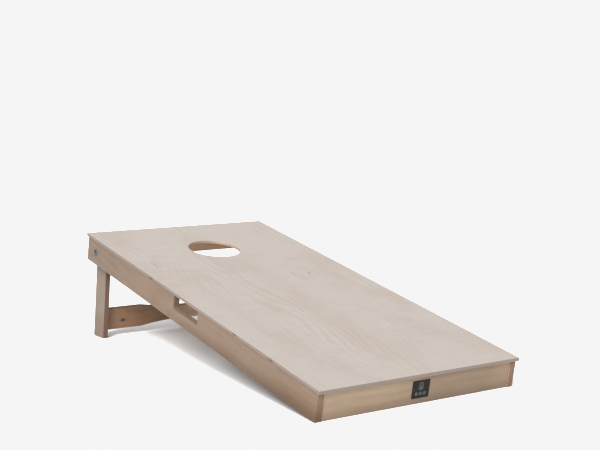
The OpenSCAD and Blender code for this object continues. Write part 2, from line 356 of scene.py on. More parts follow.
class Shader:
    """A material's nodes, read in the axes of place: each call adds one node and gives its
    output"""

    def __init__(self, name, place=Matrix()):
        self.material = bpy.data.materials.new(name)
        self.material.use_nodes = True
        self.nodes = self.material.node_tree.nodes
        self.links = self.material.node_tree.links
        self.surface = self.nodes["Principled BSDF"]
        back = place.inverted()
        turn = back.to_euler()
        source = self.nodes.new("ShaderNodeTexCoord").outputs
        point = Value(self, source["Object"])
        normal = Value(self, source["Normal"])
        self.point = self.add("Mapping", {"Vector": point, "Location": back.translation,
                                          "Rotation": turn})
        self.normal = self.add("Mapping", {"Vector": normal, "Rotation": turn},
                               vector_type="VECTOR")

    def put(self, socket, value):
        """Links a Value to the socket, or sets a constant on the socket itself"""
        if isinstance(value, Value):
            self.links.new(value.socket, socket)
        else:
            socket.default_value = value

    def add(self, kind, inputs, output=0, **settings):
        """One node with its inputs and settings, and one of its outputs"""
        node = self.nodes.new("ShaderNode" + kind)
        for key, value in settings.items():
            setattr(node, key, value)
        for key, value in inputs.items():
            self.put(node.inputs[key], value)
        return Value(self, node.outputs[output])

    def maths(self, operation, a, b=0.0, clamp=False):
        """One Math node"""
        return self.add("Math", {0: a, 1: b}, operation=operation, use_clamp=clamp)

    def split(self, vector):
        """A vector's three parts"""
        node = self.nodes.new("ShaderNodeSeparateXYZ")
        self.put(node.inputs[0], vector)
        return [Value(self, node.outputs[i]) for i in range(3)]

    def vector(self, x, y, z):
        """A vector of three values"""
        return self.add("CombineXYZ", {0: x, 1: y, 2: z})

    def scaled(self, vector, scale):
        """A vector with each part times its own scale"""
        return self.add("VectorMath", {0: vector, 1: scale}, operation="MULTIPLY")

    def choose(self, factor, a, b):
        """a where factor is 0 and b where it is 1"""
        return self.add("Mix", {0: factor, 2: a, 3: b}, data_type="FLOAT")

    def colour(self, factor, a, b, blend="MIX"):
        """Colour a with b laid over it by a factor"""
        return self.add("Mix", {0: factor, 6: a, 7: b}, output=2, data_type="RGBA",
                        blend_type=blend)

    def noise(self, vector, scale, detail=2.0, rough=0.5):
        """Smooth noise from 0 to 1, with its scale per metre along each of the vector's axes"""
        return self.add("TexNoise", {"Vector": self.scaled(vector, scale), "Scale": 1.0,
                                     "Detail": detail, "Roughness": rough})

    def ramp(self, value, low, high):
        """0 below low, 1 above high and smooth between, or the other way round"""
        if low < high:
            limits = {1: low, 2: high, 3: 0.0, 4: 1.0}
        else:
            limits = {1: high, 2: low, 3: 1.0, 4: 0.0}
        return self.add("MapRange", {0: value, **limits}, interpolation_type="SMOOTHSTEP")

    def spot(self, centre, size, core=0.35):
        """1 inside an ellipsoid's core and 0 outside it, with a soft edge between"""
        away = self.add("VectorMath", {0: self.point, 1: centre}, operation="SUBTRACT")
        away = self.scaled(away, [1 / s for s in size])
        length = self.add("VectorMath", {0: away}, output=1, operation="LENGTH")
        return self.ramp(length, 1.0, core)

    def largest(self, values):
        """The largest of several values at each point"""
        total = values[0]
        for value in values[1:]:
            total = self.maths("MAXIMUM", total, value)
        return total

    def done(self, colour, roughness, height, bump, distance, **inputs):
        """Wires up the surface. Height is in the units of distance, which is in metres."""
        self.put(self.surface.inputs["Base Color"], colour)
        self.put(self.surface.inputs["Roughness"], roughness)
        normal = self.add("Bump", {"Height": height, "Strength": bump, "Distance": distance})
        self.put(self.surface.inputs["Normal"], normal)
        for key, value in inputs.items():
            self.put(self.surface.inputs[key.replace("_", " ")], value)
        return self.material


# Noise scales per metre: along the grain, across it, and through the sheet
HILLS = (2.2, 6.0, 1.0)
RIPPLES = (9.0, 26.0, 1.0)
FAINT = (3.0, 6.0, 1.0)
MOTTLE = (4.5, 11.0, 1.0)
SILK = (38.0, 14.0, 1.0)
SHINE = (25.0, 120.0, 120.0)
FIBRE = (14.0, 420.0, 420.0)
THREAD = (45.0, 1500.0, 1500.0)
PORE = (130.0, 2300.0, 2300.0)
CORE_GAP = (60.0, 60.0, 400.0)

# Noise scales per metre, in the piece's own axes
SPECKLE = [900.0] * 3
RING_MARKS = (260.0, 260.0, 900.0)
WEAR = [60.0] * 3

KNOT_BROWN = (0.024, 0.009, 0.005, 1)
STREAK_BROWN = (0.085, 0.034, 0.016, 1)
GLUE_BROWN = (0.07, 0.032, 0.018, 1)
GAP_BLACK = (0.02, 0.01, 0.006, 1)
WOOD_ROUGHNESS = 0.62
PATCHES = 0.25

# A ramp that is 1 on the whole piece
ANY = (-9.0, -8.0)


def tinted(colour, red, green, blue):
    """The colour times a factor for each of its three parts"""
    return colour[0] * red, colour[1] * green, colour[2] * blue, 1


class Plywood(Shader):
    """The nodes of a solid birch plywood sheet in the axes of place. tones are the veneers' light
    and dark colours and the tint of their end grain."""

    def __init__(self, name, place, thickness, plies, tones, seed):
        super().__init__(name, place)
        self.light, self.dark, self.end_tint = tones
        self.seed = seed
        self.x, self.y, self.z = self.split(self.point)
        nx, ny, nz = self.split(self.normal)
        self.ply = (self.z / thickness + 0.5) * plies
        inside = self.maths("MAXIMUM", self.maths("MINIMUM", self.ply, plies - 0.01), 0.0)
        layer = self.maths("FLOOR", inside)
        self.odd = self.maths("MODULO", layer, 2.0)
        # Odd layers have crossed grain, and each layer a figure of its own
        self.grain = self.vector(self.choose(self.odd, self.x, self.y),
                                 self.choose(self.odd, self.y, self.x),
                                 self.z + layer * 0.37 + seed)
        toward_end = self.choose(self.odd, nx, ny)
        self.end = self.ramp(toward_end * toward_end, 0.2, 0.85)
        self.side = 1.0 - self.ramp(nz * nz, 0.25, 0.9)
        self.arris = nz * nz * self.side * 3.0

    def flame(self, density, wander):
        """The lines of a peeled veneer, as contours of a smooth hill drawn out along the grain,
        and how far each point is from one line to the next"""
        across, depth = self.split(self.grain)[1:]
        hills = self.noise(self.grain, HILLS, 1.0, 0.45)
        ripples = self.noise(self.grain, RIPPLES, 2.0, 0.5)
        height = across * density + hills * wander + ripples * 1.1 + depth * 2.0 + self.seed
        ring = self.maths("FRACT", height)
        line = self.ramp(ring, 0.5, 0.88) * self.ramp(ring, 1.0, 0.92)
        number = self.maths("FLOOR", height)
        own = self.add("TexWhiteNoise", {"W": number}, noise_dimensions="1D")
        return line * (own * 0.6 + 0.4), ring

    def veneer(self, density, wander, lines):
        """The veneers' own colour: flame, mottle, silk, fibres, threads and pores"""
        self.line, ring = self.flame(density, wander)
        faint = self.ramp(self.noise(self.grain, FAINT, 1.0), 0.35, 0.65)
        mottle = self.ramp(self.noise(self.grain, MOTTLE, 2.0), 0.42, 0.72)
        silk = self.noise(self.grain, SILK, 2.0, 0.6)
        self.fibre = self.noise(self.grain, FIBRE, 3.0, 0.6)
        self.thread = self.noise(self.grain, THREAD, 2.0, 0.5)
        self.pore = self.ramp(self.noise(self.grain, PORE, 1.0, 0.4), 0.66, 0.74)
        amount = self.line * (faint * 0.7 + 0.3) * lines + (ring - 0.5) * 0.12
        amount = amount + mottle * PATCHES + (silk - 0.5) * 0.35 + (self.fibre - 0.5) * 0.5
        amount = amount + (self.thread - 0.5) * 0.22 + 0.3
        amount = self.maths("ADD", amount, 0.0, clamp=True)
        wood = self.colour(amount, self.light, self.dark)
        return self.colour(self.pore * 0.35, wood, tinted(self.dark, 0.45, 0.38, 0.32))

    def shade(self, wood, shades):
        """A tint where the ramps along x, y and z are all 1, for tones of the wood and for painted
        shade and light
        """
        for along_x, along_y, through, tint in shades:
            there = self.ramp(self.x, *along_x) * self.ramp(self.y, *along_y)
            there = there * self.ramp(self.z, *through)
            wood = self.colour(there, wood, (*tint, 1), "MULTIPLY")
        return wood

    def end_grain(self, wood):
        """Speckled end grain where a face cuts across the fibres"""
        speckle = self.ramp(self.noise(self.point, SPECKLE, 3.0, 0.65), 0.3, 0.75)
        ring_marks = self.ramp(self.noise(self.point, RING_MARKS, 1.0), 0.4, 0.7)
        cross = self.colour(speckle * 0.55 + ring_marks * 0.3, (*self.end_tint, 1),
                            tinted(self.end_tint, 0.6, 0.52, 0.45))
        return self.colour(self.end, wood, self.colour(1.0, wood, cross, "MULTIPLY"))

    def ply_edges(self, wood):
        """Glue lines, darker long grain and small gaps in the crossed veneers, on cut edges"""
        seam = self.maths("PINGPONG", self.ply, 0.5)
        self.glue = self.ramp(seam, 0.1, 0.02) * self.side
        wood = self.colour(self.glue * 0.6, wood, GLUE_BROWN)
        long_grain = self.side * 0.32 * (1.0 - self.end)
        wood = self.colour(long_grain, wood, tinted(self.dark, 0.4, 0.33, 0.28))
        gap = self.ramp(self.noise(self.grain, CORE_GAP, 1.0), 0.74, 0.77)
        self.gap = gap * self.odd * self.side
        return self.colour(self.gap * 0.85, wood, GAP_BLACK)

    def sawn_bore(self, wood, centre, size, tint):
        """Another tone on the sawn wall of a hole"""
        return self.colour(self.spot(centre, size) * self.side, wood, (*tint, 1), "MULTIPLY")

    def worn_arrises(self, wood):
        """Handled, darker arrises"""
        worn = self.ramp(self.noise(self.point, WEAR, 3.0, 0.6), 0.35, 0.7)
        amount = self.maths("MULTIPLY", self.arris * 0.4, worn, clamp=True)
        return self.colour(amount, wood, tinted(self.dark, 0.55, 0.45, 0.4))

    def knots(self, wood, knots):
        """Dark knots with a browner halo, as (centre, size) ellipsoids"""
        heart = self.largest([self.spot(c, size, 0.7) for c, size in knots])
        halo = self.largest([self.spot(c, [v * 2.4 for v in size]) for c, size in knots])
        wood = self.colour(halo * 0.35, wood, tinted(self.dark, 0.6, 0.4, 0.28))
        return self.colour(heart * 0.95, wood, KNOT_BROWN)

    def streaks(self, wood, streaks):
        """Short brown streaks, as (centre, size) ellipsoids"""
        mark = self.largest([self.spot(c, size) for c, size in streaks])
        return self.colour(mark * 0.55, wood, STREAK_BROWN)

    def surface_of(self, wood):
        """The material, with its roughness and its relief"""
        shine = self.noise(self.grain, SHINE, 2.0) * 0.16 + (WOOD_ROUGHNESS - 0.08)
        rough = shine + self.end * 0.16 + self.pore * 0.15
        height = self.fibre * 0.5 + self.thread * 0.3 - self.pore * 0.6 + self.line * 0.15
        height = height - self.gap * 2.0 - self.glue * 0.5
        return self.done(wood, rough, height, 0.35, 0.25 * MM)


def plywood(name, place, thickness, tones, seed, plies=11, density=48.0, wander=9.0, lines=0.34,
            knots=(), streaks=(), shades=(), bore=None):
    """A plywood material. density is the flame's lines per metre across the grain, wander how far
    they stray, and lines how dark they are. The rest is as the methods above say."""
    sheet = Plywood(name, place, thickness, plies, tones, seed)
    wood = sheet.veneer(density, wander, lines)
    wood = sheet.shade(wood, shades)
    wood = sheet.end_grain(wood)
    wood = sheet.ply_edges(wood)
    if bore:
        wood = sheet.sawn_bore(wood, *bore)
    wood = sheet.worn_arrises(wood)
    if knots:
        wood = sheet.knots(wood, knots)
    if streaks:
        wood = sheet.streaks(wood, streaks)
    return sheet.surface_of(wood)


def metal(name, base, tarnish, roughness, scale):
    """Plated steel: cloudy passivation, fine scratches and a slightly uneven skin"""
    s = Shader(name)
    cloud = s.noise(s.point, [scale] * 3, 3.0, 0.6)
    grit = s.noise(s.point, [4200.0] * 3, 2.0, 0.5)
    scratch = s.noise(s.point, (300.0, 5200.0, 900.0), 2.0, 0.5)
    colour = s.colour(s.ramp(cloud, 0.3, 0.7), base, tarnish)
    dull = s.ramp(scratch, 0.55, 0.75)
    colour = s.colour(dull * 0.25, colour, tinted(base, 1.5, 1.5, 1.5))
    rough = cloud * 0.2 + grit * 0.1 + (roughness - 0.15)
    height = grit * 0.4 + scratch * 0.3 + cloud * 0.3
    return s.done(colour, rough, height, 0.25, 0.05 * MM, Metallic=1.0)


def plastic(name, base, worn, roughness):
    """Moulded plastic: a fine even texture, with slight clouding and rubbed spots"""
    s = Shader(name)
    grain = s.noise(s.point, [2600.0] * 3, 2.0, 0.5)
    cloud = s.noise(s.point, [90.0] * 3, 3.0, 0.6)
    colour = s.colour(s.ramp(cloud, 0.35, 0.75), base, worn)
    rough = grain * 0.15 + cloud * 0.2 + (roughness - 0.17)
    return s.done(colour, rough, grain, 0.3, 0.06 * MM, Specular_IOR_Level=0.2)


# ---- fasteners ----

POCKET_A = math.radians(15)
SIN_A, COS_A = math.sin(POCKET_A), math.cos(POCKET_A)
POCKET_R = 4.75 * MM
POCKET_RUN = 70 * MM
SIDES = {"left": -1, "right": 1}
ENDS = (("front", front_low, front_high, 1), ("rear", rear_low, rear_high, -1))

# Each kind of screw: its words in the names of pieces and nodes, its length, how far it goes past
# the joint, and its axes and body
PANEL_SCREW = "deck", "panel", 25 * MM, 6.5 * MM, DECK, "board"
CORNER_SCREW = "corner", "corner", 30 * MM, 11 * MM, DECK, "board"
BRACE_SCREW = "leg", "brace", 30 * MM, 11 * MM, LEGS, "leg_frame"

# Where the screws sit, as shares of the deck's length, its width, and the rail's or brace's height
SIDE_SCREWS_AT = (0.16, 0.34, 0.66, 0.84)
END_SCREWS_AT = (-0.28, 0, 0.28)
CORNER_SCREWS_AT = (0.3, 0.75)
BRACE_SCREWS_AT = (-0.26, 0.26)

# A screw's recess, head and neck: radius, and depth below the head's top, in millimetres
SCREW_HEAD = ((0, 1.2), (1.3, 1.2), (1.75, 0.9), (1.8, 0.2), (2.0, 0.02), (3.1, 0.04),
              (3.75, 0.2), (4.1, 0.55), (4.2, 0.9), (4.15, 1.2), (3.9, 1.35), (2.5, 1.9),
              (2.0, 2.6), (1.45, 3.4))
HEAD_H = 2 * MM
RECESS_R, RECESS_H = 1.9 * MM, 1.3 * MM
NECK_END, SHANK_FROM, TIP_L = 5.9 * MM, 6 * MM, 4 * MM
SHANK_R, TIP_NARROWS = 1.98 * MM, 1.6 * MM
SCREW_PITCH, SCREW_DEPTH = 1.8 * MM, 0.6 * MM
SCREW_SIDES = 24


def side_screws(side):
    """Joint points and directions of the screws up through a side rail into the deck"""
    x = side * (rail_low.x + rail_high.x) / 2
    ys = [deck_high.y * t for t in SIDE_SCREWS_AT]
    return [(Vector((x, y, rail_high.z)), Vector((side * SIN_A, 0, COS_A))) for y in ys]


def end_screws(low, high, inward):
    """The same for an end rail, whose box is given; inward is 1 or -1 along y"""
    xs = [deck_high.x * 2 * t for t in END_SCREWS_AT]
    y = (low.y + high.y) / 2
    return [(Vector((x, y, rail_high.z)), Vector((0, -inward * SIN_A, COS_A))) for x in xs]


def corner_screws(low, high, inward):
    """Screws out through the ends of an end rail into both side rails"""
    y = (low.y + high.y) / 2
    zs = [rail_high.z - (rail_high.z - rail_low.z) * t for t in CORNER_SCREWS_AT]
    return [(Vector((side * rail_low.x, y, z)), Vector((side * COS_A, -inward * SIN_A, 0)))
            for side in (1, -1) for z in zs]


def brace_screws(side):
    """Screws out through one end of the brace into its leg, in the legs' axes"""
    zs = [BRACE_MIDDLE + (brace_high.z - brace_low.z) * t for t in BRACE_SCREWS_AT]
    return [(Vector((side * leg_low.x, 0, z)), Vector((side * COS_A, -SIN_A, 0))) for z in zs]


def pockets(screws, kind, place):
    """Cutters for the screws' pockets, in the axes of the piece at place"""
    length, bite, space = kind[2:5]
    into = place.inverted() @ space
    made = []
    for point, direction in screws:
        cutter = prism(circle((0, 0), POCKET_R), bite - length - POCKET_RUN, bite - length)
        made.append((cutter, into @ aimed(point, direction)))
    return made


def screw_profile(length, bite):
    """A flat-headed screw: recess, head, plain neck, and a thread that narrows to its point"""
    top = bite - length - HEAD_H
    rows = [(r * MM, top + z * MM) for r, z in SCREW_HEAD]
    start, end = top + SHANK_FROM, bite - TIP_L
    steps = int((end - start) / (SCREW_PITCH / 6))
    rows += [(SHANK_R, start + (end - start) * i / steps) for i in range(steps + 1)]
    rows += [(SHANK_R - TIP_NARROWS * i / 12, end + (TIP_L - 0.3 * MM) * i / 12)
             for i in range(1, 13)]
    return rows + [(0, bite - 0.1 * MM)]


def screw_shape(top):
    """A six-lobed recess in the head, and a helical thread on the shank"""
    def shape(radius, z, angle):
        if radius < RECESS_R and z < top + RECESS_H:
            return radius * (1 + 0.16 * math.cos(6 * angle))
        if z < top + NECK_END:
            return radius
        phase = (z / SCREW_PITCH - angle / (2 * math.pi)) % 1
        depth = min(SCREW_DEPTH, radius * 0.4)
        return radius - depth * min(1, abs(2 * phase - 1) * 1.6)
    return shape


def add_screws(kind, word, screws, material):
    """One piece of all the screws of a kind in one rail or leg"""
    piece, node, length, bite, space, body = kind
    profile = screw_profile(length, bite)
    shape = screw_shape(bite - length - HEAD_H)
    parts = [(lathe(profile, SCREW_SIDES, shape=shape), aimed(p, d)) for p, d in screws]
    add_piece(piece + "_screws_" + word, joined(parts), space, material, body,
              word + "_" + node + "_screws", 40)


BOLT_R, BOLT_L = 4 * MM, 50 * MM
BOLT_HEAD_R, DOME_H, RIM_H = 10.3 * MM, 4.6 * MM, 0.8 * MM
NECK_L, NECK_GAP = 4.5 * MM, 0.1 * MM
PITCH, THREAD_DEPTH, THREAD_FROM = 1.25 * MM, 0.7 * MM, 22 * MM
WASHER_R, WASHER_T, WASHER_EASE = 12 * MM, 2 * MM, 0.3 * MM
NUT_HALF, HEX_H, NUT_H, COLLAR_R = 6.5 * MM, 5.8 * MM, 8 * MM, 5.8 * MM
RING_R, RING_H, RING_EASE = 5 * MM, 2 * MM, 0.25 * MM
FIT = 0.05 * MM
BOLT_SIDES, WASHER_SIDES, NUT_SIDES = 64, 72, 96

# The edge of the bolt's dome: radius from the head's own, and place along the bolt, in millimetres
DOME_EDGE = ((-0.08, -0.78), (0, -0.6), (0, -0.25), (-0.08, -0.06), (-0.25, 0))

# The nut: its lower face and chamfers, and its collar from its own radius and top, in millimetres
NUT_FACE_R, NUT_TOP_R, NUT_CHAMFER = 6.2 * MM, 6.3 * MM, 0.75 * MM
COLLAR = ((0, -0.9), (-0.15, -0.35), (-0.55, -0.06), (-1.0, 0), (-1.2, -0.15), (-1.2, -0.48))


def bolt_shape(radius, z, angle):
    """A square neck under the head, and a helical thread towards the end"""
    if NECK_GAP < z < NECK_L - NECK_GAP:
        return min(radius / max(abs(math.cos(angle)), abs(math.sin(angle))), 1.34 * radius)
    if z < THREAD_FROM:
        return radius
    fade = min(1, (z - THREAD_FROM) / (2 * PITCH))
    phase = (z / PITCH - angle / (2 * math.pi)) % 1
    return radius - THREAD_DEPTH * fade * max(0, min(1, 1.25 * abs(2 * phase - 1) - 0.12))


def dome_profile():
    """A carriage bolt's head, from the middle of its dome to its flat underside"""
    cap = DOME_H - RIM_H
    dome_r = (BOLT_HEAD_R ** 2 + cap ** 2) / (2 * cap)
    widest = math.asin((BOLT_HEAD_R - 0.25 * MM) / dome_r)
    angles = [widest * i / 14 for i in range(15)]
    dome = [(dome_r * math.sin(a), dome_r - DOME_H - dome_r * math.cos(a)) for a in angles]
    dome[0] = (0, -DOME_H)
    return dome + [(BOLT_HEAD_R + r * MM, z * MM) for r, z in DOME_EDGE]


def bolt_mesh():
    """The bolt along z from its head's underside: dome, square neck, shank and thread"""
    neck = [(BOLT_R * 1.5, 0), (BOLT_R, 0.12 * MM), (BOLT_R, NECK_L * 0.5),
            (BOLT_R, NECK_L - 0.7 * MM), (BOLT_R, NECK_L), (BOLT_R, THREAD_FROM)]
    end = BOLT_L - 1 * MM
    steps = int((end - THREAD_FROM) / (PITCH / 8))
    thread = [(BOLT_R, THREAD_FROM + (end - THREAD_FROM) * i / steps) for i in range(1, steps + 1)]
    tip = [(BOLT_R - 0.4 * MM, BOLT_L - 0.5 * MM), (BOLT_R - 0.85 * MM, BOLT_L - 0.05 * MM),
           (0, BOLT_L)]
    return lathe(dome_profile() + neck + thread + tip, BOLT_SIDES, shape=bolt_shape)


def hexagon(radius, z, angle):
    """No wider than the nut's flats"""
    turn = (angle + math.pi / 6) % (math.pi / 3) - math.pi / 6
    return min(radius, NUT_HALF / math.cos(turn))


def nut_mesh():
    """A lock nut: a hexagon with both faces chamfered, and a collar turned in over its ring"""
    corner = NUT_HALF / math.cos(math.pi / 6)
    bore = BOLT_R + FIT
    rows = [(bore, 0.4 * MM), (BOLT_R + 0.5 * MM, 0), (NUT_FACE_R, 0)]
    rows += [(NUT_FACE_R + (corner - NUT_FACE_R) * t / 6, NUT_CHAMFER * t / 6)
             for t in range(1, 7)]
    rows.append((corner, HEX_H / 2))
    rows += [(corner - (corner - NUT_TOP_R) * t / 6, HEX_H - NUT_CHAMFER * (6 - t) / 6)
             for t in range(7)]
    rows += [(COLLAR_R + 0.25 * MM, HEX_H), (COLLAR_R, HEX_H + 0.25 * MM)]
    rows += [(COLLAR_R + r * MM, NUT_H + z * MM) for r, z in COLLAR]
    rows.append((bore, NUT_H - 2.6 * MM))
    return lathe(rows, NUT_SIDES, closed=True, shape=hexagon)


def add_washer(name, node, place, start, material):
    """A washer on a bolt, from a place along it"""
    profile = box_outline(BOLT_R + 0.3 * MM, start, WASHER_R, start + WASHER_T, WASHER_EASE, 4)
    ring = lathe(profile, WASHER_SIDES, closed=True)
    add_piece(name, ring, place, material, "board", node, 30)


def add_pivot(side_name, side, zinc, nylon):
    """One pivot: bolt, spacer washer, nut washer and lock nut, along the bolt from the rail"""
    out = Vector((-side, 0, 0))
    place = DECK @ aimed((side * rail_high.x, PIVOT_Y, PIVOT_Z), out)
    add_piece("bolt_" + side_name, bolt_mesh(), place, zinc, "board", side_name + "_pivot_bolt",
              25)
    second = RAIL_T + WASHER_T + LEG_T + 3 * FIT
    for word, start in (("spacer_washer", RAIL_T), ("nut_washer", second)):
        add_washer(word + "_ring_" + side_name, side_name + "_" + word, place, start, zinc)
    seat = place @ Matrix.Translation((0, 0, second + WASHER_T))
    add_piece("nut_" + side_name, nut_mesh(), seat, zinc, "board", side_name + "_lock_nut",
              28)
    start = NUT_H - RING_H - 0.5 * MM
    profile = box_outline(BOLT_R + FIT / 2, start, RING_R - 0.3 * MM, start + RING_H, RING_EASE, 4)
    ring = lathe(profile, BOLT_SIDES, closed=True)
    add_piece("nylon_ring_" + side_name, ring, seat, nylon, "board", side_name + "_nut_insert",
              30)


# ---- wooden pieces ----

def skin(thickness, way):
    """The z ramp for the sheet's face on one side, where way is 1 or -1"""
    return way * (thickness / 2 - 1.2 * MM), way * (thickness / 2 - 0.2 * MM)


# Each piece's tones of one birch ply: light and dark veneer, and the tint of its end grain
# They differ partly as the pieces' own colour, and partly as painted light and shade for how the
# lamp falls
RAIL_END = (1.4, 1.42, 1.45)
DECK_TONES = (0.341, 0.313, 0.291, 1), (0.278, 0.227, 0.188, 1), (0.50, 0.41, 0.35)
SIDE_TONES = (0.182, 0.124, 0.083, 1), (0.138, 0.084, 0.050, 1), RAIL_END
END_RAIL_TONES = (0.267, 0.198, 0.135, 1), (0.204, 0.133, 0.079, 1), RAIL_END
LEG_TONES = (0.179, 0.140, 0.109, 1), (0.132, 0.091, 0.065, 1), (0.90, 0.49, 0.33)
BRACE_TONES = (0.230, 0.130, 0.072, 1), (0.163, 0.082, 0.042, 1), (0.62, 0.50, 0.42)

# Where wood has another tone, much of it painted light and shade: ramps along x, y and z in the
# piece's own axes, and the tint
# Painted light on the side rails' inner faces, which lie in the deck's shade
PAINTED_LIGHT_INSIDE = (2.1, 1.85, 1.75)
LEFT_SHADES = (((0.75, 1.1), ANY, ANY, (0.87, 0.91, 0.96)),
               # Painted shade: the low front of the rail darker, near the floor
               ((0.95, 0.35), (-0.045, -0.075), ANY, (0.66, 0.60, 0.53)),
               ((0.34, 0.1), (-0.02, -0.06), ANY, (0.74, 0.67, 0.57)),
               (ANY, ANY, skin(RAIL_T, 1), PAINTED_LIGHT_INSIDE))
# Painted shade: the low front of the rail darker, near the floor
RIGHT_SHADES = (((0.3, 0.1), (-0.03, -0.07), ANY, (0.8, 0.76, 0.72)),
                (ANY, ANY, skin(RAIL_T, -1), PAINTED_LIGHT_INSIDE))
FRONT_SHADES = (((-0.09, 0.04), ANY, ANY, (0.75, 0.72, 0.70)),
                ((0.2, 0.27), ANY, ANY, (1.15, 1.17, 1.19)),
                # Painted light: a paler band along the top, in place of the shadow under the deck's
                # overhang
                (ANY, (-0.042, -0.022), ANY, (1.2, 1.2, 1.21)),
                # Painted shade: a darker band along the bottom, near the floor
                (ANY, (-0.048, -0.074), ANY, (0.76, 0.73, 0.70)),
                # Painted light on the inner face, which lies in the deck's shade
                (ANY, ANY, skin(front_high.y - front_low.y, -1), (2.0, 1.65, 1.5)))
# Painted light on the rear rail's inner face, which lies in the deck's shade
REAR_PAINTED_LIGHT = ((ANY, ANY, skin(rear_high.y - rear_low.y, 1), (2.8, 2.35, 2.25)),)
# Painted shade: each leg darker at its foot, near the floor, and at its top, under the rail
LEG_PAINTED_SHADE = (((-0.17, -0.22), ANY, ANY, (0.86, 0.81, 0.74)),
              ((-0.11, -0.05), ANY, ANY, (0.88, 0.84, 0.80)))
# Painted light: paler and cooler over the part in the deck's shadow
BRACE_PAINTED_LIGHT = (((-0.135, -0.105), ANY, ANY, (1.05, 1.12, 1.2)),
                # Painted light: the front face much paler in the middle, where light comes through
                # the notch
                ((-0.05, 0.03), ANY, skin(BRACE_T, 1), (2.8, 3.1, 3.5)))

# The wall of the bag hole: centre, size and tint
HOLE_WALL = (Vector((HOLE_Y, 0, 0)), (0.15, 0.15, 1.0), (1.75, 1.68, 1.62))

# Knots: centre and size
RAIL_KNOTS = ((Vector((0.333, -0.021, -RAIL_T / 2)), (0.0016, 0.0014, 0.003)),)
BRACE_KNOTS = ((Vector((-203 * MM, BRACE_MIDDLE - 7 * MM, BRACE_T / 2)),
                (7.5 * MM, 4.4 * MM, 6 * MM)),)

# Streaks on the deck: x and y, half their length and half their width, in millimetres
DECK_STREAKS = ((-245, 886, 28, 2.0), (104, 706, 28, 1.8), (154, 702, 11, 5),
                (-101, 189, 3, 2.5))

# Gaps in the deck's core: y, z and half their length, in millimetres, and each gap's two parts:
# how far along and how long, as shares of that half
CORE_GAPS = ((791, -5.4, 6), (359, -3.6, 5), (196, -5.2, 7))
GAP_PARTS = ((-1.1, 0.8), (1.0, 0.9))
GAP_HALF_H, GAP_DEPTH, GAP_R = 0.85 * MM, 6 * MM, 0.6 * MM

# The split in the left rail: y, z and half its width, in millimetres, and how deep it goes
SPLIT = ((1197, -45.2, 0.45), (1188, -45.9, 0.42), (1179, -47.1, 0.34), (1171, -47.4, 0.26),
         (1162, -48.3, 0.06))
SPLIT_DEPTH = 5 * MM


def add_sheet(name, node, slot, place, outlines, thickness, cutters, tones, seed, body="board",
              ease=EASE, **figure):
    """A wooden piece: a sheet cut to its outlines and bored, in plywood of its own"""
    bm = cut(sheet_mesh(outlines, thickness, ease), cutters)
    material = plywood("birch_" + name, place, thickness, tones, seed, **figure)
    add_piece(name, bm, place, material, body, node)


def deck_streaks():
    """Short brown streaks and spots on the deck's top face, in the piece's axes"""
    return [(Vector((y * MM, -x * MM, DECK_T / 2)), (length * MM, width * MM, 3 * MM))
            for x, y, length, width in DECK_STREAKS]


def gap_stains():
    """The darker wood round each gap in the core, in the piece's axes"""
    return [(Vector((y * MM, deck_high.x, z * MM - DECK_MIDDLE)),
             (1.3 * half * MM, 4 * MM, 1.3 * MM)) for y, z, half in CORE_GAPS]


def core_gaps():
    """Cutters for the gaps in the core veneers, open at the deck's left edge"""
    made = []
    for y, z, half in CORE_GAPS:
        z0 = z * MM - DECK_MIDDLE
        for shift, share in GAP_PARTS:
            start = y * MM + (shift * half - half * share) * MM
            end = y * MM + (shift * half + half * share) * MM
            outline = box_outline(start, deck_high.x - GAP_DEPTH, end, deck_high.x + 2 * MM, GAP_R)
            made.append((prism(outline, z0 - GAP_HALF_H, z0 + GAP_HALF_H), Matrix()))
    return made


def add_deck():
    """The deck: x up the slope and z square to it"""
    place = DECK @ axes((0, 1, 0), (-1, 0, 0), (0, 0, 1), (0, 0, -DECK_T / 2))
    outside = box_outline(0, -deck_high.x, deck_high.y, deck_high.x)
    hole = circle((HOLE_Y, 0), HOLE_R, 144, -1)
    add_sheet("deck", "top_panel", "deck_ply", place, [outside, hole], DECK_T, core_gaps(),
              DECK_TONES, 0.37, ease=DECK_EASE, plies=7, density=62.0, wander=10.0, lines=0.24,
              knots=gap_stains(), streaks=deck_streaks(), bore=HOLE_WALL)


def rail_outline():
    """A side rail seen from the right: y up the slope and z square to the deck"""
    low, high = rail_low, rail_high
    return rounded([
        (low.y, low.z, 2 * MM), (high.y, low.z, 2 * MM), (high.y, high.z, 0),
        (NOTCH_Y1, high.z, 0), (NOTCH_Y1, NOTCH_FLOOR, NOTCH_R), (NOTCH_Y0, NOTCH_FLOOR, NOTCH_R),
        (NOTCH_Y0, high.z, 0), (low.y, high.z, 0)], 12)


def split_cutter():
    """A hairline split in the left rail's outer face, from its rear end to the bolt"""
    upper = [Vector((y * MM, (z + half) * MM)) for y, z, half in SPLIT]
    lower = [Vector((y * MM, (z - half) * MM)) for y, z, half in SPLIT]
    return prism(lower[::-1] + upper, -RAIL_T / 2 - 1 * MM, SPLIT_DEPTH - RAIL_T / 2), Matrix()


def bolt_bore(centre, thickness):
    """A cutter for the bolt's bore through a sheet"""
    return prism(circle(centre, BOLT_R + FIT), -thickness, thickness), Matrix()


def add_side_rail(side_name, side, seed, knots, shades, extra_cutters=()):
    """A side rail: x up the slope, and z to the right"""
    middle = side * (rail_low.x + rail_high.x) / 2
    place = DECK @ axes((0, 1, 0), (0, 0, 1), (1, 0, 0), (middle, 0, 0))
    cutters = pockets(side_screws(side), PANEL_SCREW, place)
    cutters.append(bolt_bore((PIVOT_Y, PIVOT_Z), RAIL_T))
    cutters.extend(extra_cutters)
    add_sheet("rail_" + side_name, side_name + "_side_rail", "rail_ply", place, [rail_outline()],
              RAIL_T, cutters, SIDE_TONES, seed, knots=knots, shades=shades)


